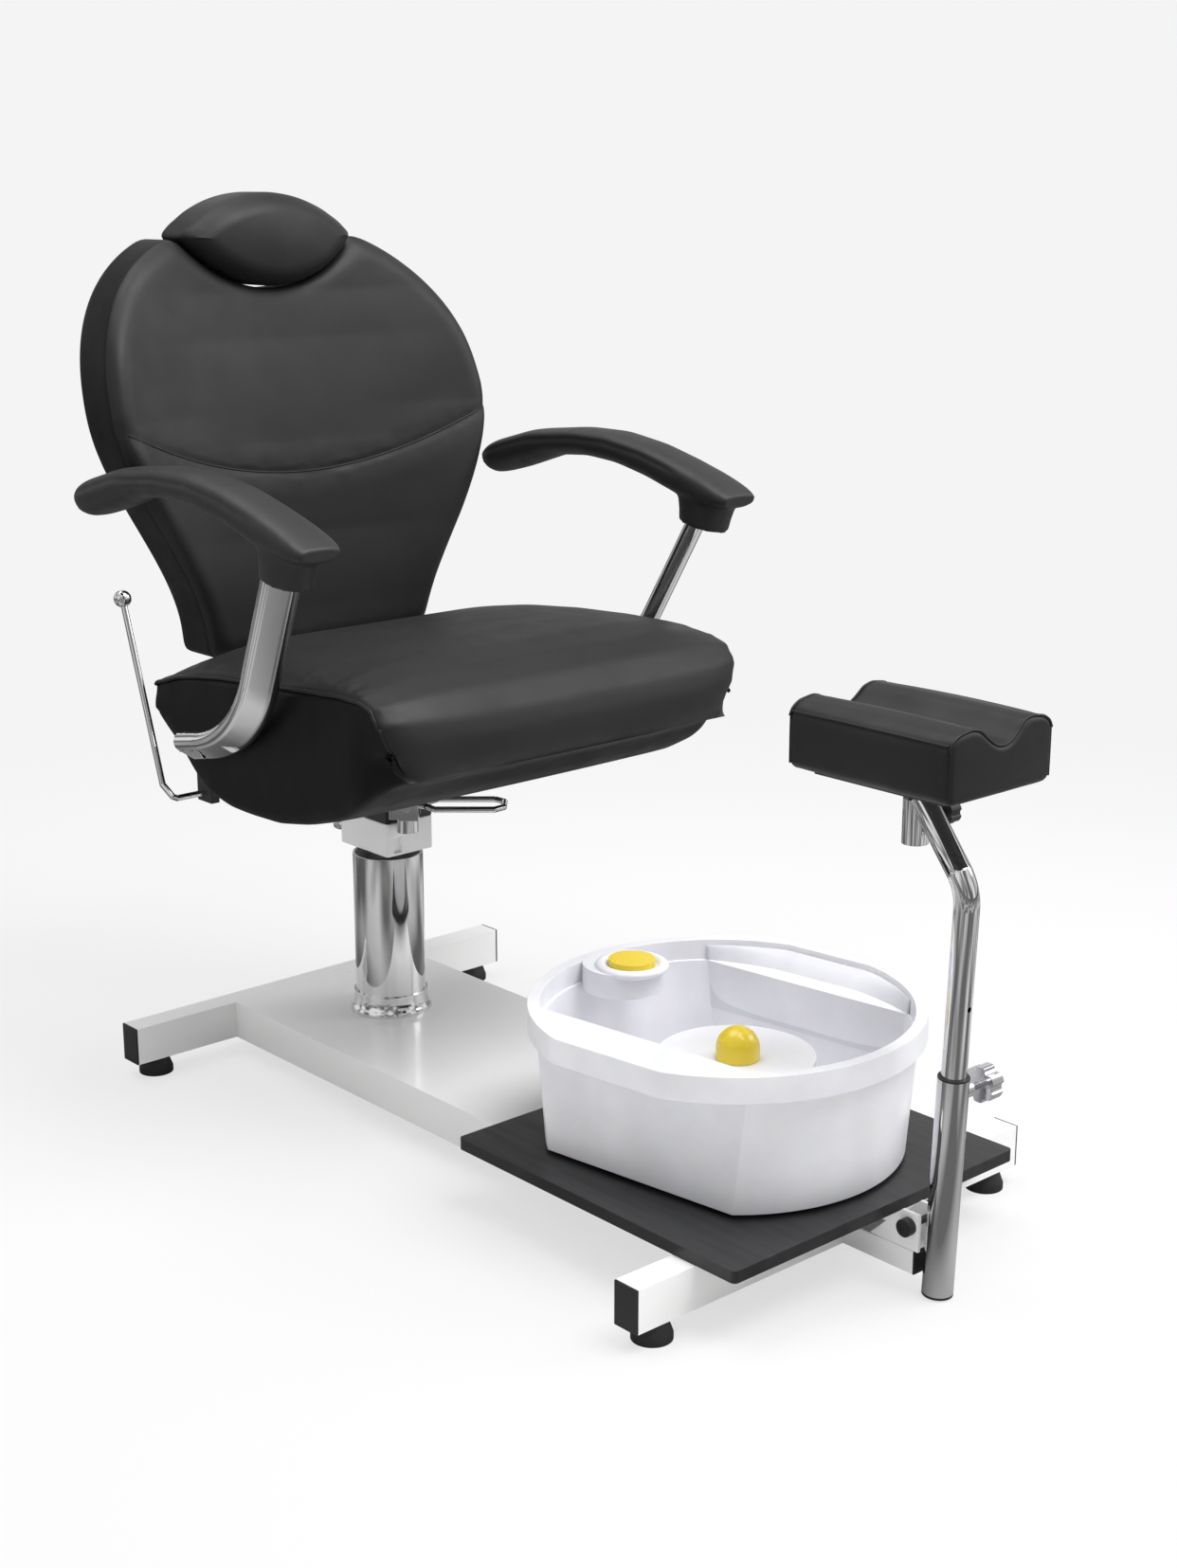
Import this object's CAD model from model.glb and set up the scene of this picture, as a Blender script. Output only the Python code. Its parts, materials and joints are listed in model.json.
"""Looks of the pedicure spa chair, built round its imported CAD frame."""

import json
import math

import bmesh
import bpy
import numpy as np
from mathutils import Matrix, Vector, noise
from mathutils.bvhtree import BVHTree


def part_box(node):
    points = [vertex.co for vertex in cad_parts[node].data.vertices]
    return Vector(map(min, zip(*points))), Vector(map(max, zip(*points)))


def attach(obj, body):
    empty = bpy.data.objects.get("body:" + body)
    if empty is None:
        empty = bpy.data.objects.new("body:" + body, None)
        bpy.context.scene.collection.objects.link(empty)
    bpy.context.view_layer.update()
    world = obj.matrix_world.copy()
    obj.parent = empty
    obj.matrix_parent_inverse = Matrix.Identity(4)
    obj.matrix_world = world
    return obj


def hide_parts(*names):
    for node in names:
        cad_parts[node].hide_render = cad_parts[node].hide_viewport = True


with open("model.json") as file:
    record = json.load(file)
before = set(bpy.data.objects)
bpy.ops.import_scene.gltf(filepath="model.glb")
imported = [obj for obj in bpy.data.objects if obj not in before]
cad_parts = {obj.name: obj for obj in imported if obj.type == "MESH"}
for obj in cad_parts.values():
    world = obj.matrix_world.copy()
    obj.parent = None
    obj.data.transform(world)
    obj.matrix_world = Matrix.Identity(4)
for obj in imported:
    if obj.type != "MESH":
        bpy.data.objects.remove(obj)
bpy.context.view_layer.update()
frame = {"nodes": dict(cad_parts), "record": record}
MM = 0.001
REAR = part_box("rear_tube")[0].y / MM  # front face of the rear cross tube, mm
scene = bpy.context.scene


# ---------- materials ----------


class Paint:
    """A Principled material with helpers for its procedural detail."""

    def __init__(self, name, color, roughness, **sockets):
        self.mat = bpy.data.materials.new(name)
        self.mat.use_nodes = True
        self.nt = self.mat.node_tree
        self.bsdf = self.nt.nodes["Principled BSDF"]
        self.bsdf.inputs["Base Color"].default_value = (*color, 1)
        self.bsdf.inputs["Roughness"].default_value = roughness
        for key, value in sockets.items():
            self.bsdf.inputs[key.replace("_", " ")].default_value = value
        self.coord = self.nt.nodes.new("ShaderNodeTexCoord")
        self.height = None

    def link(self, a, b):
        self.nt.links.new(a, b)

    def texture(self, scale, detail=3.0, kind="noise", stretch=None):
        """A scalar texture in object space; scale is in cells per metre."""
        source = self.coord.outputs["Object"]
        if stretch:
            mapping = self.nt.nodes.new("ShaderNodeMapping")
            mapping.inputs["Scale"].default_value = stretch
            self.link(source, mapping.inputs["Vector"])
            source = mapping.outputs["Vector"]
        if kind == "noise":
            node = self.nt.nodes.new("ShaderNodeTexNoise")
            node.inputs["Detail"].default_value = detail
            out = node.outputs["Fac"]
        else:
            node = self.nt.nodes.new("ShaderNodeTexVoronoi")
            node.feature = "F1" if kind == "cells" else "DISTANCE_TO_EDGE"
            out = node.outputs["Distance"]
        node.inputs["Scale"].default_value = scale
        self.link(source, node.inputs["Vector"])
        return out

    def ramp(self, source, low, high, span=(0.3, 0.7)):
        """Maps a scalar onto two values or two colours."""
        node = self.nt.nodes.new("ShaderNodeValToRGB")
        as_color = lambda v: (*v, 1) if hasattr(v, "__len__") else (v, v, v, 1)
        for element, value, place in zip(node.color_ramp.elements, (low, high), span):
            element.color = as_color(value)
            element.position = place
        self.link(source, node.inputs["Fac"])
        return node.outputs["Color"]

    def tint(self, source, low, high, span=(0.3, 0.7)):
        self.link(self.ramp(source, low, high, span), self.bsdf.inputs["Base Color"])
        return self

    def gloss(self, source, low, high, span=(0.3, 0.7)):
        self.link(self.ramp(source, low, high, span), self.bsdf.inputs["Roughness"])
        return self

    def bump(self, source, strength, distance):
        """Adds a bump layer; layers stack."""
        node = self.nt.nodes.new("ShaderNodeBump")
        node.inputs["Strength"].default_value = strength
        node.inputs["Distance"].default_value = distance
        self.link(source, node.inputs["Height"])
        if self.height is not None:
            self.link(self.height, node.inputs["Normal"])
        self.height = node.outputs["Normal"]
        self.link(self.height, self.bsdf.inputs["Normal"])
        return self


def vinyl(name, color, roughness, specular=0.3):
    p = Paint(name, color, roughness, Specular_IOR_Level=specular, Coat_Weight=0.05, Coat_Roughness=0.4)
    light = [c * 1.35 for c in color]
    p.tint(p.texture(9, 4), color, light, (0.35, 0.75))
    p.gloss(p.texture(22, 4), roughness - 0.05, roughness + 0.07)
    p.bump(p.texture(14, 2), 0.35, 0.0022)
    p.bump(p.texture(1500, kind="edges"), 0.22, 0.00035)
    p.bump(p.texture(2600, 2), 0.12, 0.0002)
    return p.mat


def painted(name, color, roughness):
    p = Paint(name, color, roughness, Coat_Weight=0.25, Coat_Roughness=0.12, Specular_IOR_Level=0.45)
    p.tint(p.texture(5, 3), [c * 0.99 for c in color], color)
    p.gloss(p.texture(8, 2), roughness - 0.01, roughness + 0.01, (0.2, 0.8))
    p.bump(p.texture(300, 2), 0.05, 0.00001)
    return p.mat


def metal(name, color, low, high, stretch=None, scale=60, bump=0.02):
    p = Paint(name, color, low, Metallic=1.0)
    p.gloss(p.texture(scale, 4, stretch=stretch), low, high)
    p.tint(p.texture(7, 3), [c * 0.94 for c in color], color)
    p.bump(p.texture(scale * 6, 2, stretch=stretch), bump, 0.0001)
    return p.mat


def plastic(name, color, roughness, grain=900, strength=0.15, **sockets):
    p = Paint(name, color, roughness, **sockets)
    p.tint(p.texture(12, 3), [c * 0.93 for c in color], [min(1, c * 1.05) for c in color])
    p.gloss(p.texture(40, 3), roughness - 0.05, roughness + 0.06)
    p.bump(p.texture(grain, 3), strength, 0.0002)
    return p.mat


def board_laminate():
    coat = {"Specular_IOR_Level": 0.45, "Coat_Weight": 0.15, "Coat_Roughness": 0.3}
    p = Paint("board_laminate", (0.012, 0.012, 0.013), 0.42, **coat)
    p.tint(p.texture(60, 6, stretch=(1, 0.12, 1)), (0.008, 0.008, 0.009), (0.019, 0.019, 0.021))
    p.gloss(p.texture(90, 5, stretch=(1, 0.1, 1)), 0.34, 0.5)
    p.bump(p.texture(260, 5, stretch=(1, 0.08, 1)), 0.12, 0.0002)
    return p.mat


def plywood():
    p = Paint("birch_plywood", (0.55, 0.4, 0.25), 0.6)
    p.tint(p.texture(18, 6, stretch=(0.15, 1, 6)), (0.36, 0.24, 0.13), (0.62, 0.47, 0.3))
    p.bump(p.texture(120, 5, stretch=(0.1, 1, 4)), 0.2, 0.0004)
    return p.mat


M = {
    "black_vinyl": vinyl("black_vinyl", (0.0125, 0.0125, 0.0128), 0.5),
    "side_vinyl": vinyl("black_vinyl_side", (0.0045, 0.0045, 0.0047), 0.5, 0.16),
    "seam": vinyl("black_vinyl_seam", (0.011, 0.011, 0.0115), 0.46),
    "black_foam_skin": plastic(
        "arm_pad_skin", (0.019, 0.019, 0.0195), 0.5, 1400, 0.3, Specular_IOR_Level=0.45
    ),
    "white_paint": painted("white_paint", (0.9, 0.9, 0.895), 0.28),
    "chrome": metal("chrome", (0.8, 0.8, 0.805), 0.03, 0.075),
    "clear_chrome": metal("clear_chrome", (0.78, 0.78, 0.8), 0.08, 0.2),
    "zinc_steel": metal("zinc_steel", (0.55, 0.55, 0.56), 0.24, 0.42, scale=90, bump=0.06),
    "black_paint": plastic("black_paint", (0.02, 0.02, 0.021), 0.36, 500, 0.1, Coat_Weight=0.2),
    "black_plastic": plastic("black_plastic", (0.016, 0.016, 0.017), 0.45, 800, 0.2),
    "black_rubber": plastic("black_rubber", (0.013, 0.013, 0.013), 0.68, 700, 0.35),
    "black_laminate": board_laminate(),
    "plywood": plywood(),
    "tub_white": plastic(
        "tub_white", (0.85, 0.85, 0.885), 0.34, 500, 0.05,
        Coat_Weight=0.15, Coat_Roughness=0.2, Subsurface_Weight=0.08, Subsurface_Scale=0.01,
    ),
    "tub_inner": plastic("tub_white_inner", (0.72, 0.72, 0.765), 0.4, 500, 0.05),
    "tub_yellow": plastic(
        "tub_yellow", (0.83, 0.62, 0.03), 0.3, 400, 0.05, Coat_Weight=0.3, Coat_Roughness=0.12
    ),
}


def dress_cad_nodes():
    """Gives every CAD node its material, softened edges and smooth shading."""
    slots = {row["node"]: row["material_slot"] for row in frame["record"]["subparts"]}
    fine_edge = 0.5  # bevel widths in mm
    wide_edges = {
        "rear_tube": 2.2, "front_tube": 2.2, "tongue_tube": 1.8, "deck_panel": 2.0,
        "shelf_board": 1.0, "tub_shell": 2.6, "head_housing": 1.6, "spacer_block": 1.2,
    }
    for name, node in frame["nodes"].items():
        node.data.materials.clear()
        node.data.materials.append(M[slots[name]])
        weld = node.modifiers.new("weld", "WELD")
        weld.merge_threshold = 2e-5
        flat = node.modifiers.new("planes", "DECIMATE")
        flat.decimate_type = "DISSOLVE"
        flat.angle_limit = math.radians(0.4)
        bevel = node.modifiers.new("edge", "BEVEL")
        bevel.width = wide_edges.get(name, fine_edge) * MM
        bevel.segments = 3 if name in wide_edges else 2
        bevel.limit_method = "ANGLE"
        bevel.angle_limit = math.radians(38)
        node.data.shade_smooth()
        node.modifiers.new("normals", "WEIGHTED_NORMAL").keep_sharp = False


# ---------- mesh helpers ----------


def new_object(name, mesh, mat):
    obj = bpy.data.objects.new(name, mesh)
    scene.collection.objects.link(obj)
    mesh.materials.clear()
    mesh.materials.append(mat)
    return obj


def mesh_from(name, points, faces, mat):
    """A smooth closed mesh from points in millimetres."""
    mesh = bpy.data.meshes.new(name)
    mesh.from_pydata([tuple(v * MM for v in p) for p in points], [], faces)
    bm = bmesh.new()
    bm.from_mesh(mesh)
    bmesh.ops.remove_doubles(bm, verts=bm.verts, dist=2e-5)
    bmesh.ops.recalc_face_normals(bm, faces=bm.faces)
    bm.to_mesh(mesh)
    bm.free()
    mesh.shade_smooth()
    return new_object(name, mesh, mat)


def bake(obj):
    """Applies the modifiers of an object."""
    deps = bpy.context.evaluated_depsgraph_get()
    mesh = bpy.data.meshes.new_from_object(obj.evaluated_get(deps))
    obj.modifiers.clear()
    old, obj.data = obj.data, mesh
    bpy.data.meshes.remove(old)
    mesh.name = obj.name
    mesh.shade_smooth()
    return obj


def coords(obj):
    co = np.empty(len(obj.data.vertices) * 3)
    obj.data.vertices.foreach_get("co", co)
    return co.reshape(-1, 3) / MM


def set_coords(obj, points):
    obj.data.vertices.foreach_set("co", (points * MM).ravel())
    obj.data.update()


def resample(points, count, closed=True):
    """Evenly spaced points along a polyline."""
    p = np.array(points, float)
    if closed:
        p = np.vstack([p, p[:1]])
    along = np.concatenate([[0], np.cumsum(np.linalg.norm(np.diff(p, axis=0), axis=1))])
    at = np.linspace(0, along[-1], count + (1 if closed else 0))
    out = np.stack([np.interp(at, along, p[:, i]) for i in range(p.shape[1])], 1)
    return out[:-1] if closed else out


def relax(points, times, closed=True):
    """Rounds the corners of a polyline."""
    p = points.copy()
    for _ in range(times):
        q = (np.roll(p, 1, 0) + np.roll(p, -1, 0)) / 4 + p / 2
        if not closed:
            q[0], q[-1] = p[0], p[-1]
        p = q
    return p


def inward(loop):
    """Unit normals of a closed loop that point to its inside."""
    t = np.roll(loop, -1, 0) - np.roll(loop, 1, 0)
    n = np.stack([-t[:, 1], t[:, 0]], 1)
    area = np.sum(loop[:, 0] * np.roll(loop[:, 1], -1) - np.roll(loop[:, 0], -1) * loop[:, 1])
    n *= np.sign(area)
    return n / np.maximum(np.linalg.norm(n, axis=1, keepdims=True), 1e-9)


ROUND_RINGS = 9  # rings round each rounded edge of a slab


def slab_points(loop, depth, r_front, r_rear, centre=None, caps=9, sides=4):
    """Rings of a slab with rounded edges, from the middle of its front to the middle of its rear.
    Each ring is (points, w): the loop inset or scaled, at the depth w."""
    centre = loop.mean(0) if centre is None else np.array(centre, float)
    normals = inward(loop)
    rings = []
    turn = np.linspace(0, math.pi / 2, ROUND_RINGS)
    front = [(r_front * (1 - math.sin(a)), r_front * (1 - math.cos(a))) for a in turn]
    rear = [(r_rear * (1 - math.cos(a)), depth - r_rear * (1 - math.sin(a))) for a in turn]

    def inset_loop(inset):
        return relax(loop + normals * inset, int(2.2 * inset))

    flat = inset_loop(r_front)
    rings += [(centre + (flat - centre) * s, 0.0) for s in np.linspace(0.04, 1, caps, endpoint=False)]
    rings += [(inset_loop(inset), w) for inset, w in front]
    low, high = front[-1][1], rear[0][1]
    rings += [(loop, low + (high - low) * s) for s in np.linspace(0, 1, sides + 2)[1:-1]]
    rings += [(inset_loop(inset), w) for inset, w in rear]
    flat = inset_loop(r_rear)
    rings += [(centre + (flat - centre) * s, depth) for s in np.linspace(1, 0.04, caps + 1)[1:]]
    return rings, centre


def slab(name, loop, depth, r_front, r_rear, place, mat, centre=None, caps=9, sides=4):
    """A closed slab; place(a, b, w) maps loop coordinates and depth to points in millimetres."""
    rings, centre = slab_points(loop, depth, r_front, r_rear, centre, caps, sides)
    n = len(loop)
    flat = [place(centre[0], centre[1], 0.0)]
    for ring, w in rings:
        flat += [place(a, b, w) for a, b in ring]
    flat.append(place(centre[0], centre[1], depth))
    faces = [(0, 1 + (i + 1) % n, 1 + i) for i in range(n)]
    for k in range(len(rings) - 1):
        a, b = 1 + k * n, 1 + (k + 1) * n
        faces += [(a + i, a + (i + 1) % n, b + (i + 1) % n, b + i) for i in range(n)]
    last, end = 1 + (len(rings) - 1) * n, len(flat) - 1
    faces += [(end, last + i, last + (i + 1) % n) for i in range(n)]
    return mesh_from(name, flat, faces, mat)


def loft(name, sections, mat, sink=0.0):
    """Joins sections of equal length, each an N x 3 array in millimetres; sink draws its ends inward."""
    n = len(sections[0])
    points = [tuple(p) for s in sections for p in s]
    faces = []
    for k in range(len(sections) - 1):
        a, b = k * n, (k + 1) * n
        faces += [(a + i, a + (i + 1) % n, b + (i + 1) % n, b + i) for i in range(n)]
    middle = np.mean(sections[len(sections) // 2], 0)
    for k, flip in ((0, 1), (len(sections) - 1, 0)):
        centre = np.mean(sections[k], 0)
        away = middle - centre
        points.append(tuple(centre + away / np.linalg.norm(away) * sink))
        c, a = len(points) - 1, k * n
        for i in range(n):
            pair = (a + i, a + (i + 1) % n)
            faces.append((c, *(pair[::-1] if flip else pair)))
    return mesh_from(name, points, faces, mat)


def tube(name, path, radius, mat, closed=False, sides=10, flat=1.0, up=(0, 0, 1)):
    """A round or flattened tube along a path in millimetres."""
    p = np.array(path, float)
    if closed:
        t = np.roll(p, -1, 0) - np.roll(p, 1, 0)
    else:
        t = np.gradient(p, axis=0)
    t /= np.linalg.norm(t, axis=1, keepdims=True)
    side = np.cross(t, np.array(up, float))
    for i in range(1, len(side)):
        if np.linalg.norm(side[i]) < 1e-3:
            side[i] = side[i - 1]
    side /= np.maximum(np.linalg.norm(side, axis=1, keepdims=True), 1e-9)
    over = np.cross(side, t)
    angles = np.linspace(0, 2 * math.pi, sides, endpoint=False)
    rings = []
    for at, right, high in zip(p, side, over):
        turn = np.outer(np.cos(angles), right) + flat * np.outer(np.sin(angles), high)
        rings.append(at + radius * turn)
    if not closed:
        return loft(name, rings, mat)
    n, count = sides, len(rings)
    faces = []
    for k in range(count):
        a, b = k * n, ((k + 1) % count) * n
        faces += [(a + i, a + (i + 1) % n, b + (i + 1) % n, b + i) for i in range(n)]
    return mesh_from(name, [tuple(q) for r in rings for q in r], faces, mat)


def join(name, parts):
    """Joins objects that share a body into one piece."""
    bm = bmesh.new()
    mats = []
    for part in parts:
        mat = part.data.materials[0]
        if mat not in mats:
            mats.append(mat)
        start = len(bm.faces)
        bm.from_mesh(part.data)
        bm.faces.ensure_lookup_table()
        for face in bm.faces[start:]:
            face.material_index = mats.index(mat)
    mesh = bpy.data.meshes.new(name)
    bm.to_mesh(mesh)
    bm.free()
    for part in parts:
        bpy.data.objects.remove(part)
    obj = bpy.data.objects.new(name, mesh)
    scene.collection.objects.link(obj)
    for mat in mats:
        mesh.materials.append(mat)
    mesh.shade_smooth()
    return obj


def puckers(points, normals, distance, reach, size, seed, along=0.35):
    """Small folds that fade with the distance from a seam."""
    fade = np.maximum(0, np.exp(-((distance / reach) ** 2)) - 0.04) * smooth_step(2, 9, distance)
    live = np.nonzero(fade)[0]
    lift = np.zeros(len(points))
    for i in live:
        v = Vector((points[i][0] * 0.06 + seed, points[i][1] * 0.06 * along, points[i][2] * 0.06 * along))
        lift[i] = noise.noise(v) * size * fade[i]
    return points + normals * lift[:, None]


def vertex_normals(obj):
    n = np.empty(len(obj.data.vertices) * 3)
    obj.data.vertices.foreach_get("normal", n)
    return n.reshape(-1, 3)


def side_panels(obj, count, first, last):
    """Gives the strips of a slab in the given span the darker side vinyl."""
    obj.data.materials.append(M["side_vinyl"])
    for face in obj.data.polygons:
        if first <= (face.index - count) // count < last:
            face.material_index = 1


def surface_of(obj):
    """A ray caster onto a finished piece: (origin, direction) to the hit point in millimetres."""
    bm = bmesh.new()
    bm.from_mesh(obj.data)
    tree = BVHTree.FromBMesh(bm)
    bm.free()

    def hit(origin, direction):
        found = tree.ray_cast(Vector(origin) * MM, Vector(direction))[0]
        return None if found is None else np.array(found) / MM

    return hit


def smooth_step(a, b, x):
    s = np.clip((x - a) / (b - a), 0, 1)
    return s * s * (3 - 2 * s)


# ---------- backrest ----------

BACK_LOW, BACK_TOP = 549.0, 1102.0
WIDEST, FOOT_HALF, WIDE_HALF = 866.0, 174.0, 292.0


def back_half(z):
    """Half width of the backrest at the height z."""
    low = FOOT_HALF + (WIDE_HALF - FOOT_HALF) * smooth_step(BACK_LOW, WIDEST, z)
    s = np.clip((z - WIDEST) / (BACK_TOP - WIDEST), 0, 1)
    high = WIDE_HALF * np.maximum(0, 1 - s**2.3) ** (1 / 2.3)
    return np.where(z < WIDEST, low, high)


def back_edge_y(z):
    """y of the backrest's front edge, which bows forward between its foot and its top."""
    s = (z - 562) / 519
    return REAR - 30 + 101 * s - 190 * s * (1 - s)


def back_hollow(x, z):
    """How far the front lies behind its edges: a shallow bucket."""
    depth = np.interp(z, [549, 600, 700, 820, 950, 1010, 1085], [15, 26, 42, 46, 42, 34, 12])
    half = np.maximum(np.interp(z, [549, 650, 860, 1100], [175, 205, 290, 250]), 1)
    u = np.clip(np.abs(x) / half, 0, 1)
    return depth * (1 - u**2.4)


def seam_z(x):
    """Height of the cross seam of the backrest: it dips toward the middle."""
    return 779 + 74 * (np.abs(x) / 290.0) ** 2


def back_loop():
    """The outline of the back, with the round notch for the headrest in its top."""
    notch_z, notch_r = 1185.0, 172.0
    dome_z = 1050.0  # above this the outline closes over the top
    dome = BACK_TOP - (BACK_TOP - dome_z) * np.linspace(1, 0, 40) ** 2
    z = np.concatenate([np.linspace(BACK_LOW, dome_z, 60), dome])
    side = np.stack([back_half(z), z], 1)
    keep = np.hypot(side[:, 0], side[:, 1] - notch_z) > notch_r
    side = side[keep & (side[:, 0] > 90)]
    tip = side[-1]
    arc = []
    for a in np.linspace(math.atan2(tip[1] - notch_z, tip[0]), -math.pi / 2, 30):
        arc.append([notch_r * math.cos(a), notch_z + notch_r * math.sin(a)])
    right = np.vstack([side, arc])
    left = right[::-1][1:] * [-1, 1]
    return relax(resample(np.vstack([right, left]), 320), 10)


def backrest():
    loop = back_loop()

    def place(x, z, w):
        hollow = back_hollow(x, z) * max(0.0, 1 - w / 58.0) ** 1.3
        y = back_edge_y(z) + w + hollow
        return (x, y, z)

    caps, sides = 46, 8
    vinyl_black = M["black_vinyl"]
    obj = slab("back_upholstery", loop, 90, 26, 12, place, vinyl_black, (0, 800), caps, sides)
    p = coords(obj)
    front = p[:, 1] < back_edge_y(p[:, 2]) + 55
    d = np.where(front, np.abs(p[:, 2] - seam_z(p[:, 0])), 99)
    p[:, 1] += 1.6 * np.exp(-((d / 4.5) ** 2)) - 1.3 * np.exp(-(((d - 22) / 20) ** 2)) * front
    n = vertex_normals(obj)
    p = puckers(p, n, d, 22, 1.3, 3.1)
    low = np.abs(p[:, 2] - BACK_LOW)
    p = puckers(p, n, low, 45, 1.2, 8.3)
    rear = smooth_step(60, 88, p[:, 1] - back_edge_y(p[:, 2]))
    inside = 1 - (np.abs(p[:, 0]) / np.maximum(back_half(p[:, 2]), 60)) ** 2
    p[:, 1] += 5 * rear * np.clip(inside, 0, 1)
    set_coords(obj, p)
    # the strips from the end of the front rounding to most of the rear one
    side_panels(obj, len(loop), caps + 7, caps + ROUND_RINGS + sides + 6)
    hit = surface_of(obj)
    seam = []
    for x in np.linspace(-279, 279, 90):
        z = float(seam_z(x))
        at = hit((x, REAR - 200, z), (0, 1, 0))
        if at is not None:
            seam.append(at)
    parts = [tube("cross", np.array(seam) + [0, 0.5, 0], 1.5, M["seam"], sides=8, up=(0, 1, 0))]
    rear_edge = [place(x, z, 84.0) for x, z in loop + inward(loop) * 2.0]
    parts.append(tube("edge", rear_edge, 1.5, M["seam"], closed=True, sides=8, up=(0, 1, 0)))
    trim = join("back_seams", parts)
    for piece in (obj, trim):
        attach(piece, "back")
    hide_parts("back_cushion", "back_board", "back_cover")


def headrest():
    low, mid, high, half = 1016.2, 1081.0, 1136.0, 132.0
    under = (half**2 + (mid - low) ** 2) / (2 * (mid - low))
    over = (half**2 + (high - mid) ** 2) / (2 * (high - mid))
    angle = math.asin(half / under)
    turns = np.linspace(-angle, angle, 50)
    bottom = [[under * math.sin(a), low + under * (1 - math.cos(a))] for a in turns]
    angle = math.asin(half / over)
    turns = np.linspace(angle, -angle, 50)
    top = [[over * math.sin(a), high - over * (1 - math.cos(a))] for a in turns]
    loop = relax(resample(bottom[:-1] + top[:-1], 200), 6)

    def place(x, z, w):
        u = min(1.0, abs(x) / half)
        v = (z - 1077) / 60
        dome = 17 * max(0.0, 1 - u * u) * max(0.0, 1 - v * v) ** 0.7
        if w < 40:
            y = w - dome * (1 - w / 40)
        else:
            y = w + 0.35 * dome * (w - 40) / 40
        return (x, REAR + 66 + y + (z - 1077) * 0.12 - 4 * (1 - u), z)

    obj = slab("headrest_pillow", loop, 80, 24, 16, place, M["black_vinyl"], caps=20, sides=6)
    p = coords(obj)
    tip = 138 - np.abs(p[:, 0])
    p = puckers(p, vertex_normals(obj), tip, 34, 1.3, 5.7, 1.4)
    set_coords(obj, p)
    path = [place(x, z, 62.0) for x, z in loop + inward(loop) * 2.4]
    trim = tube("headrest_seam", path, 1.5, M["seam"], closed=True, sides=8, up=(0, 1, 0))
    for piece in (obj, trim):
        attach(piece, "head")
    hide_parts("headrest_cushion")


# ---------- seat ----------

SEAT_HALF = 277.0
TOP_LINE = [
    [-36, 540], [-42, 551], [-64, 561], [-98, 580], [-140, 598], [-200, 608], [-280, 616],
    [-360, 620], [-430, 619], [-480, 611], [-516, 594], [-537, 570], [-545, 545], [-545, 520],
    [-538, 503], [-524, 499],
]
SEAM_DROP = [
    [-547, 4], [-522, 12], [-472, 23], [-420, 30], [-346, 36], [-254, 37], [-133, 33], [-78, 18],
    [-40, 8],
]
FRONT_TURN, REAR_TURN = 28, 7  # how far the front and rear ends round off toward the sides, mm


def seam_drop(a):
    """How far the top falls from the middle of the seat to its side seam."""
    return np.interp(a, [q[0] for q in SEAM_DROP], [q[1] for q in SEAM_DROP])


def nose(x, y, z):
    """Draws the lower front corners of the seat inward."""
    return x * (1 - 0.095 * smooth_step(576, 500, z) * smooth_step(-455, -525, y))


def seat_seam(loop, n):
    """The side seam, rear to front, as y and z in millimetres."""
    line = []
    for (a, b), (na, nb) in zip(loop, n):
        if b > np.interp(a, [-545, -500, -490, -120, -60, -30], [500, 560, 590, 585, 545, 530]):
            z = b + (seam_drop(a) * nb if nb < 0 else 0)
            line.append((REAR + a + (FRONT_TURN if na > 0 else REAR_TURN) * na, z))
    line.sort(key=lambda q: -q[0])
    return relax(np.array(line), 6, closed=False)


def seat_cushion():
    under = [
        [-512, 510], [-506, 540], [-500, 572.5], [-120, 572.5], [-100, 556], [-80, 545], [-60, 536],
    ]
    loop = relax(resample(TOP_LINE + under, 320), 5)
    n = inward(loop)
    line = np.array(TOP_LINE[:13])[::-1]

    def place_point(a, b, na, nb, x):
        u = np.clip((abs(x) - 120) / (SEAT_HALF - 120), 0, 1)
        c = 1 - (1 - u**2.3) ** 0.5
        seam = np.interp(a, line[:, 0], line[:, 1]) - seam_drop(a)
        if nb < 0:
            z = b + seam_drop(a) * nb * c
        else:
            low = smooth_step(238, 252, abs(x)) * (a > -495)
            z = b * (1 - low) + (seam - 1) * low
            x *= 0.993
        return (nose(x, a, z), REAR + a + (FRONT_TURN if na > 0 else REAR_TURN) * na * c, z)

    # sections from side to side, closer together toward the ends
    inner = -np.sin(np.linspace(1.4, 0, 50))
    outer = np.sin(np.linspace(0, 1.4, 50))[1:]
    span = np.concatenate([[-1, -0.9985, -0.994], inner, outer, [0.994, 0.9985, 1]])
    sections = []
    for s in span:
        x = s * SEAT_HALF
        ring = [place_point(a, b, na, nb, x) for (a, b), (na, nb) in zip(loop, n)]
        sections.append(np.array(ring))
    obj = loft("seat_upholstery", sections, M["black_vinyl"], sink=30)
    p = coords(obj)
    side = SEAT_HALF - np.abs(p[:, 0])
    p = puckers(p, vertex_normals(obj), side, 26, 1.5, 2.2, 1.6)
    set_coords(obj, p)
    seam = seat_seam(loop, n)
    parts = []
    for sign in (-1, 1):
        x = sign * (SEAT_HALF + 0.3)
        path = [(nose(x, y - REAR - 22, z), y, z) for y, z in seam if z > 535]
        parts.append(tube("edge", path, 2.5, M["seam"], sides=8, up=(1, 0, 0)))
    trim = join("seat_seams", parts)
    for piece in (obj, trim):
        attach(piece, "seat")
    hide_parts("seat_cushion")

    def on_plate(x, y, w):
        return (x, REAR + y, 560.2 + w)

    board = relax(resample([[-232, -505], [232, -505], [232, -124], [-232, -124]], 160), 8)
    pan = slab("seat_board", board, 11.5, 1.2, 1.2, on_plate, M["plywood"], caps=6, sides=2)
    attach(pan, "seat")
    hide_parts("seat_pan")
    return seam


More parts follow.
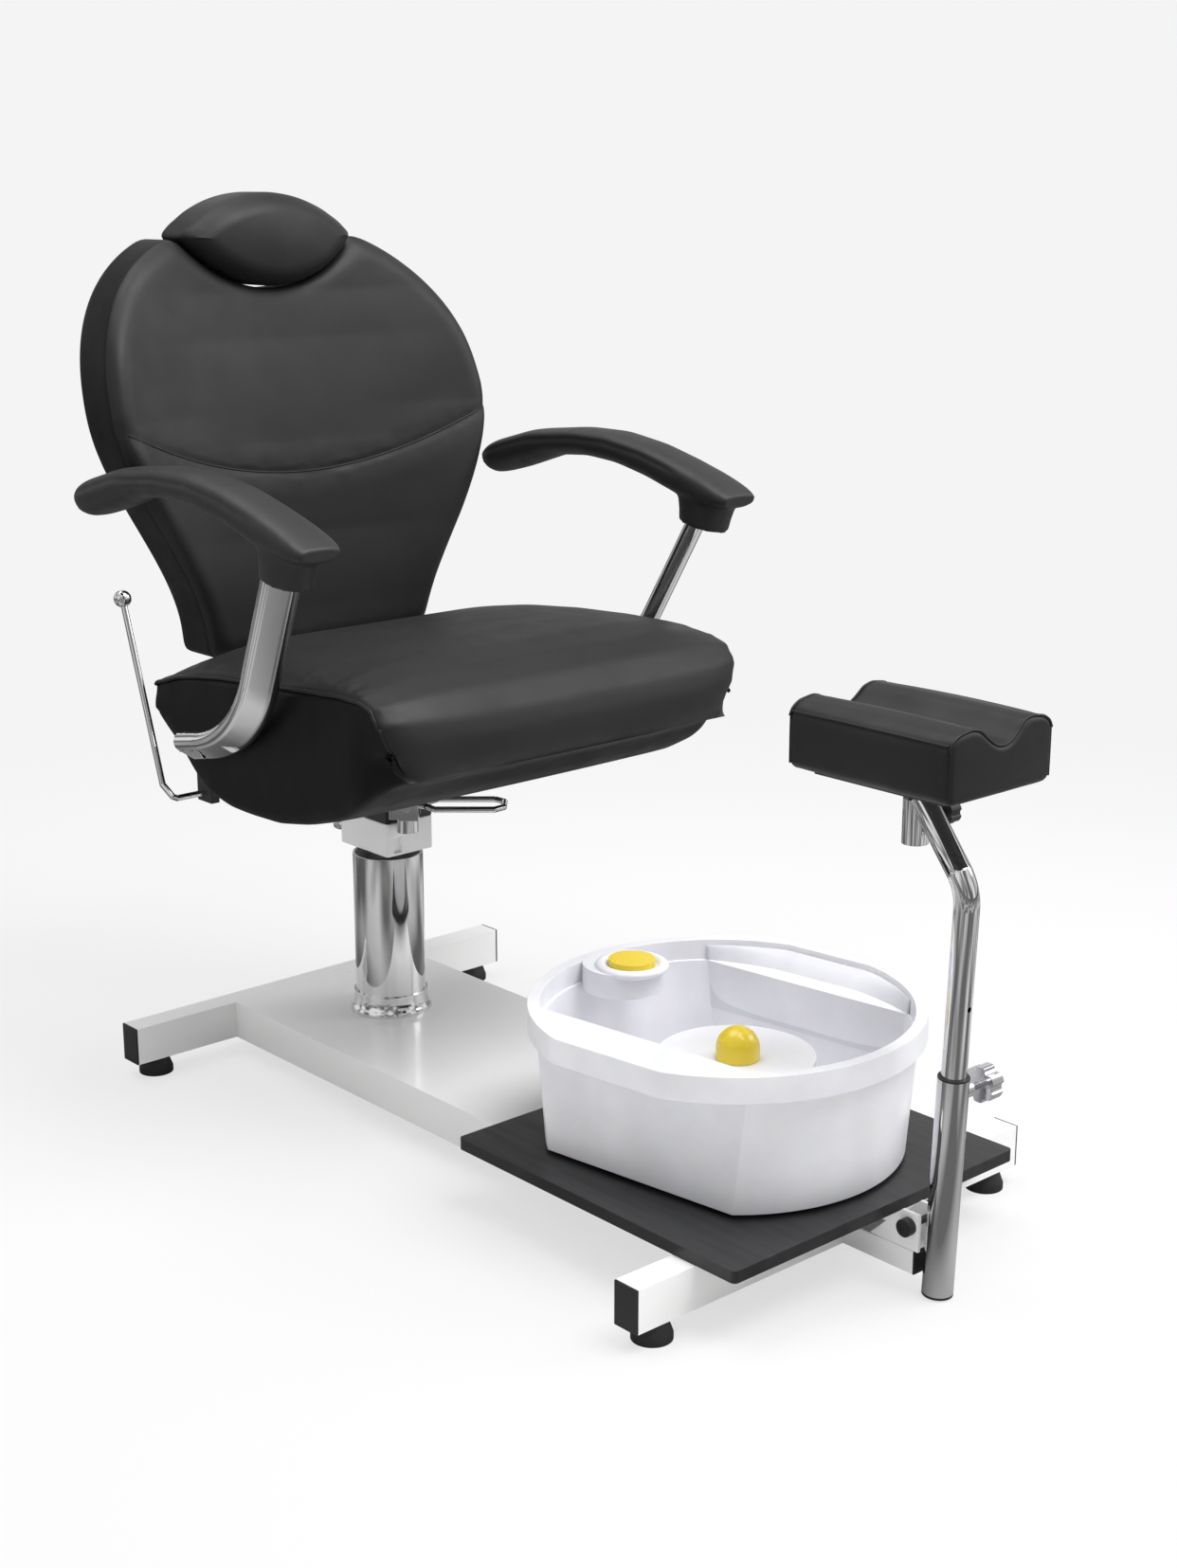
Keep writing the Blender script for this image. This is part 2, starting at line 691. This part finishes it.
def seat_skirt(seam):
    """Upholstered sides and belly, open to the rear round the recline mechanism."""
    low_line = [
        [-536, 505], [-516, 496], [-488, 485], [-452, 457], [-410, 435], [-350, 418], [-290, 407],
        [-230, 405], [-190, 406], [-150, 414], [-120, 432], [-88, 461], [-62, 478], [-47, 489],
    ]
    high_line = [(y - REAR, z - 1.5) for y, z in seam[::-1] if y - REAR > -400 or z > 511]
    low = relax(resample(low_line, 120, closed=False), 5, closed=False)
    high = relax(resample(high_line, 120, closed=False), 5, closed=False)
    sections = []
    corner = 20.0
    for (yl, zl), (yh, zh) in zip(low, high):
        half_section = []
        tall = max(zh - zl, 3)
        half = SEAT_HALF - 1 - 6 * smooth_step(-485, -540, yl)
        r = min(corner, tall * 0.45)
        for s in np.linspace(1, 0, 14, endpoint=False):
            t = r / tall + (1 - r / tall) * s
            bulge = 4.0 * math.sin(math.pi * min(1, max(0, t))) ** 2
            x = half + (SEAT_HALF - 1 - half) * t + bulge
            half_section.append((x, yl + (yh - yl) * t, zl + tall * t))
        for a in np.linspace(0, math.pi / 2, 6):
            t = r * (1 - math.sin(a)) / tall
            x = half - r * (1 - math.cos(a))
            half_section.append((x, yl + (yh - yl) * t, zl + r * (1 - math.sin(a))))
        for x in np.linspace(half - r, 0, 12)[1:]:
            half_section.append((x, yl, zl - 2.0 * (1 - (x / SEAT_HALF) ** 2)))
        other = [(-x, y, z) for x, y, z in half_section[:-1]][::-1]
        sections.append(half_section + other)
    n = len(sections[0])
    points = []
    for x, y, z in [point for section in sections for point in section]:
        u = np.clip((abs(x) - 120) / (SEAT_HALF - 120), 0, 1)
        round_off = (1 - (1 - u**2.3) ** 0.5) * smooth_step(-470, -535, y) * smooth_step(540, 515, z)
        points.append((nose(x, y, z), REAR + y + FRONT_TURN * round_off, z))
    faces = []
    for k in range(len(sections) - 1):
        a, b = k * n, (k + 1) * n
        faces += [(a + i, a + i + 1, b + i + 1, b + i) for i in range(n - 1)]
    obj = mesh_from("seat_side_upholstery", points, faces, M["side_vinyl"])
    # thickness goes to the inside
    p, normals = coords(obj), vertex_normals(obj)
    outward = np.sign(np.sum(normals * (p - [0, REAR - 280, 520]), axis=1).sum())
    solid = obj.modifiers.new("thickness", "SOLIDIFY")
    solid.thickness = 9 * MM
    solid.offset = -1.0 if outward > 0 else 1.0
    bake(obj)
    p = coords(obj)
    seam_height = np.interp(p[:, 1] - REAR, [-540, -400, -254, -78, -34], [562, 586, 577, 551, 535])
    near_top = np.abs(seam_height - p[:, 2])
    p = puckers(p, vertex_normals(obj), near_top, 26, 1.2, 6.1, 0.5)
    set_coords(obj, p)
    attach(obj, "seat")
    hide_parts("seat_skirt")


# ---------- arm pads ----------


def arm_pad(side):
    """One arched arm pad with its neck; side is 1 for the left one and -1 for the right one."""
    top_line = [
        [17, 781], [8, 791], [-14, 800], [-90, 820], [-180, 829], [-250, 829], [-320, 819],
        [-380, 804], [-430, 789], [-463, 776], [-478, 766],
    ]
    low_line = [
        [-6, 753], [-14, 753], [-30, 757], [-62, 765], [-140, 789], [-200, 793], [-260, 788],
        [-320, 775], [-380, 757], [-440, 745], [-472, 750],
    ]
    width_at = [0, 0.03, 0.08, 0.2, 0.6, 0.85, 0.94, 0.98, 1]
    width_share = [0.8, 0.92, 0.98, 1.0, 1.0, 1.04, 1.03, 0.97, 0.84]
    count = 70
    top = relax(resample(top_line, count, closed=False), 3, closed=False)
    low = relax(resample(low_line, count, closed=False), 3, closed=False)
    x0 = side * 322.0
    sections = []
    angles = np.linspace(0, 2 * math.pi, 36, endpoint=False)
    for i, (t, b) in enumerate(zip(top, low)):
        s = i / (count - 1)
        width = 32 * np.interp(s, width_at, width_share)
        ring = []
        for a in angles:
            c, d = math.cos(a), math.sin(a)
            power = 2 / 3.4 if d > 0 else 2 / 2.4
            u = math.copysign(abs(c) ** (2 / 3.0), c)
            v = math.copysign(abs(d) ** power, d)
            narrow = 1.0 if v > 0 else 1 - 0.22 * v * v
            mid = (t + b) / 2 + (t - b) / 2 * v
            ring.append((x0 + u * width * narrow, REAR + mid[0], mid[1]))
        sections.append(np.array(ring))
    body = loft("arm_body", sections, M["black_foam_skin"])
    neck = []
    for s in np.linspace(0, 1, 14):
        z = 768 - 46 * s
        y = -418 + 9 * s
        ry = np.interp(s, [0, 0.3, 0.7, 1], [52, 46, 39, 36])
        rx = 27
        ring = []
        for a in angles:
            x = x0 + rx * math.cos(a) + side * 1.2
            ring.append((x, REAR + y + ry * math.sin(a), z + 0.2 * ry * math.sin(a) * s))
        neck.append(np.array(ring))
    neck_obj = loft("arm_neck", neck, M["black_foam_skin"])
    obj = join("arm_rest_pad_" + ("left" if side > 0 else "right"), [body, neck_obj])
    remesh = obj.modifiers.new("blend", "REMESH")
    remesh.mode = "VOXEL"
    remesh.voxel_size = 2.6 * MM
    smooth = obj.modifiers.new("soften", "SMOOTH")
    smooth.factor = 0.5
    smooth.iterations = 5
    bake(obj)
    # a shallow moulded groove runs under the top's edge
    p = coords(obj)
    top_z = np.interp(-(p[:, 1] - REAR), [-q[0] for q in top_line], [q[1] for q in top_line])
    depth = top_z - p[:, 2]
    outward = np.abs(p[:, 0] - x0) / 32
    groove = np.exp(-(((depth - 13) / 3.2) ** 2)) * smooth_step(0.7, 0.95, outward)
    groove = groove * smooth_step(-400, -360, p[:, 1] - REAR)
    p[:, 0] -= np.sign(p[:, 0] - x0) * 1.5 * groove
    set_coords(obj, p)
    obj.data.materials.clear()
    obj.data.materials.append(M["black_foam_skin"])
    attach(obj, "seat")
    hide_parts("arm_pad_left" if side > 0 else "arm_pad_right")


# ---------- leg cushion ----------


def leg_cushion():
    low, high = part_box("pad_cushion")
    low, high = low / MM, high / MM
    cx, cy = (low.x + high.x) / 2 + 8, (low.y + high.y) / 2
    half_w, half_l = (high.x - low.x) / 2 + 3, (high.y - low.y) / 2 - 1
    z0, z1 = low.z, high.z
    right = [
        [0, z1 - 21], [11, z1 - 19], [23, z1 - 11], [34, z1 - 1], [46, z1 + 2],
        [half_w - 14, z1 - 1], [half_w - 4, z1 - 7], [half_w, z1 - 15],
    ]
    crown = [[-x, z] for x, z in right[:0:-1]] + right
    loop = crown + [[half_w, z0 + 6], [half_w - 6, z0], [-half_w + 6, z0], [-half_w, z0 + 6]]
    loop = relax(resample(loop, 220), 5)

    def place(x, z, w):
        v = (w / (2 * half_l)) * 2 - 1
        mid = (z - (z0 + z1) / 2) / 40
        puff = 7 * (1 - v * v)
        if abs(x) > half_w - 14:
            x += math.copysign(puff * max(0, 1 - mid * mid), x)
        end = 4.0 * (1 - (x / half_w) ** 2) * max(0, 1 - mid * mid)
        crowning = 1.8 * (1 - v * v) if z > z1 - 30 else 0
        return (cx + x, cy - half_l + w + end * v * abs(v) ** 6, z + crowning)

    centre = (0, (z0 + z1) / 2 - 4)
    length = 2 * half_l
    obj = slab("leg_pad_upholstery", loop, length, 7, 7, place, M["black_vinyl"], centre, 16, 44)
    p = coords(obj)
    ends = np.abs(np.abs(p[:, 1] - cy) - half_l)
    p = puckers(p, vertex_normals(obj), ends, 16, 1.3, 9.4, 1.5)
    set_coords(obj, p)
    rim = relax(resample(crown, 70, closed=False), 2, closed=False)
    parts = []
    for w in (2.4, 2 * half_l - 2.4):
        path = [place(x, z - 0.8, w) for x, z in rim]
        parts.append(tube("end", path, 1.6, M["seam"], sides=8, up=(0, 1, 0)))
        for sx in (-1, 1):
            post = [place(sx * (half_w - 2.0), z, w) for z in np.linspace(z0 + 6, z1 - 15, 24)]
            parts.append(tube("corner", post, 1.4, M["seam"], sides=8, up=(0, 1, 0)))
    for sx in (-1, 1):
        path = [place(sx * (half_w - 1.4), z1 - 11, w) for w in np.linspace(4, 2 * half_l - 4, 50)]
        parts.append(tube("long", path, 1.6, M["seam"], sides=8))
    trim = join("leg_pad_seams", parts)
    for piece in (obj, trim):
        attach(piece, "leg_pad")
    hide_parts("pad_cushion")


# ---------- tub trim ----------


def tub_trim():
    """The sloping inner wall at the tub's right side and the raised ring round the dial."""
    turn, base = math.radians(8), 90.0
    centre_y = REAR - 783.0

    def in_tub(x, y, z):
        turned_x = x * math.cos(turn) - y * math.sin(turn)
        turned_y = centre_y + x * math.sin(turn) + y * math.cos(turn)
        return (turned_x, turned_y, base + z)

    sections = []
    for s in np.linspace(-1, 1, 60):
        low_y = 141 * s
        high_y = 146 * s
        reach = min(203.0, math.sqrt(211.0**2 - high_y**2))
        wall = []
        for t in np.linspace(0, 1, 16):
            x = 151.0 + (reach - 151.0) * t ** 1.25
            wall.append((x, low_y + (high_y - low_y) * t, 82 + 76 * (1 - (1 - t) ** 1.6)))
        back = [(x + 2.5, y, z - 4) for x, y, z in wall[::-1]]
        sections.append(np.array([in_tub(*q) for q in wall + back]))
    liner = loft("tub_inner_wall", sections, M["tub_inner"])
    turns = np.linspace(0, 2 * math.pi, 72, endpoint=False)
    ring = [in_tub(24 + 37 * math.cos(a), 158 + 37 * math.sin(a), 164.5) for a in turns]
    collar = tube("dial_collar", ring, 7.0, M["tub_white"], closed=True, sides=16, flat=0.75)
    for piece in (liner, collar):
        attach(piece, "tub")


# ---------- camera, light, floor ----------


BACKDROP = (0.905, 0.905, 0.905, 1)  # the pale ground that the camera sees


def pale_floor():
    """A floor that fades into the backdrop; only what reflects in the chrome is patchy."""
    mesh = bpy.data.meshes.new("floor")
    s = 40.0
    mesh.from_pydata([(-s, -s, 0), (s, -s, 0), (s, s, 0), (-s, s, 0)], [], [(0, 1, 2, 3)])
    floor = Paint("floor_pale", (0.86, 0.86, 0.86), 0.95, Specular_IOR_Level=0.05)
    floor.tint(floor.texture(0.6, 2), (0.85, 0.85, 0.85), (0.87, 0.87, 0.87))
    nt = floor.nt
    reach = nt.nodes.new("ShaderNodeVectorMath")
    reach.operation = "LENGTH"
    floor.link(floor.coord.outputs["Object"], reach.inputs[0])
    glow = nt.nodes.new("ShaderNodeEmission")
    glow.inputs["Color"].default_value = BACKDROP
    span = nt.nodes.new("ShaderNodeMapRange")
    span.inputs["From Min"].default_value, span.inputs["From Max"].default_value = 0.7, 2.6
    span.inputs["To Min"].default_value, span.inputs["To Max"].default_value = 0.72, 1.0
    span.interpolation_type = "SMOOTHSTEP"
    floor.link(reach.outputs["Value"], span.inputs["Value"])
    blend = nt.nodes.new("ShaderNodeMixShader")
    path = nt.nodes.new("ShaderNodeLightPath")
    patches = floor.ramp(floor.texture(1.5, 1), 0.1, 0.45, (0.4, 0.62))
    choose = nt.nodes.new("ShaderNodeMix")
    choose.data_type = "RGBA"
    floor.link(path.outputs["Is Glossy Ray"], choose.inputs["Factor"])
    floor.link(floor.bsdf.inputs["Base Color"].links[0].from_socket, choose.inputs["A"])
    floor.link(patches, choose.inputs["B"])
    floor.link(choose.outputs["Result"], floor.bsdf.inputs["Base Color"])
    seen = nt.nodes.new("ShaderNodeMath")
    seen.operation = "MULTIPLY"
    floor.link(span.outputs["Result"], seen.inputs[0])
    floor.link(path.outputs["Is Camera Ray"], seen.inputs[1])
    floor.link(seen.outputs["Value"], blend.inputs["Fac"])
    floor.link(floor.bsdf.outputs["BSDF"], blend.inputs[1])
    floor.link(glow.outputs["Emission"], blend.inputs[2])
    floor.link(blend.outputs["Shader"], nt.nodes["Material Output"].inputs["Surface"])
    new_object("floor", mesh, floor.mat)


def surroundings():
    """A plain backdrop for the camera and soft patches of light for everything else."""
    world = bpy.data.worlds.new("studio")
    scene.world = world
    world.use_nodes = True
    nt = world.node_tree
    back = nt.nodes["Background"]
    coord = nt.nodes.new("ShaderNodeTexCoord")
    panels = nt.nodes.new("ShaderNodeMapping")
    panels.inputs["Scale"].default_value = (1.0, 1.0, 0.35)
    nt.links.new(coord.outputs["Generated"], panels.inputs["Vector"])
    patches = nt.nodes.new("ShaderNodeTexNoise")
    patches.inputs["Scale"].default_value = 2.6
    patches.inputs["Detail"].default_value = 1.0
    nt.links.new(panels.outputs["Vector"], patches.inputs["Vector"])
    ramp = nt.nodes.new("ShaderNodeValToRGB")
    for element, value, place in zip(ramp.color_ramp.elements, (0.13, 0.85), (0.4, 0.6)):
        element.color = (value, value, value, 1)
        element.position = place
    nt.links.new(patches.outputs["Fac"], ramp.inputs["Fac"])
    path = nt.nodes.new("ShaderNodeLightPath")
    mix = nt.nodes.new("ShaderNodeMix")
    mix.data_type = "RGBA"
    nt.links.new(path.outputs["Is Camera Ray"], mix.inputs["Factor"])
    nt.links.new(ramp.outputs["Color"], mix.inputs["A"])
    mix.inputs["B"].default_value = BACKDROP
    nt.links.new(mix.outputs["Result"], back.inputs["Color"])


def lamps():
    for name, place, size, power in (
        ("key", (0.7, -1.7, 4.3), 2.4, 150),
        ("fill", (3.4, -2.0, 2.6), 1.8, 40),
        ("top", (-0.6, 0.9, 4.2), 2.4, 60),
    ):
        light = bpy.data.lights.new(name, "AREA")
        light.size, light.energy = size, power
        lamp = bpy.data.objects.new(name, light)
        lamp.location = place
        lamp.rotation_euler = (Vector((0, 0, 0.5)) - Vector(place)).to_track_quat("-Z", "Y").to_euler()
        scene.collection.objects.link(lamp)


def camera():
    cam = bpy.data.cameras.new("camera")
    cam.lens, cam.sensor_width = 51.6, 36
    holder = bpy.data.objects.new("camera", cam)
    holder.location = (-1.7098, -1.9609, 1.1512)
    holder.rotation_euler = (math.radians(74.95), 0, math.radians(-41.81))
    scene.collection.objects.link(holder)
    scene.camera = holder
    scene.view_settings.view_transform = "Standard"


backrest()
headrest()
seat_skirt(seat_cushion())
arm_pad(1)
arm_pad(-1)
leg_cushion()
tub_trim()
dress_cad_nodes()
pale_floor()
surroundings()
lamps()
camera()
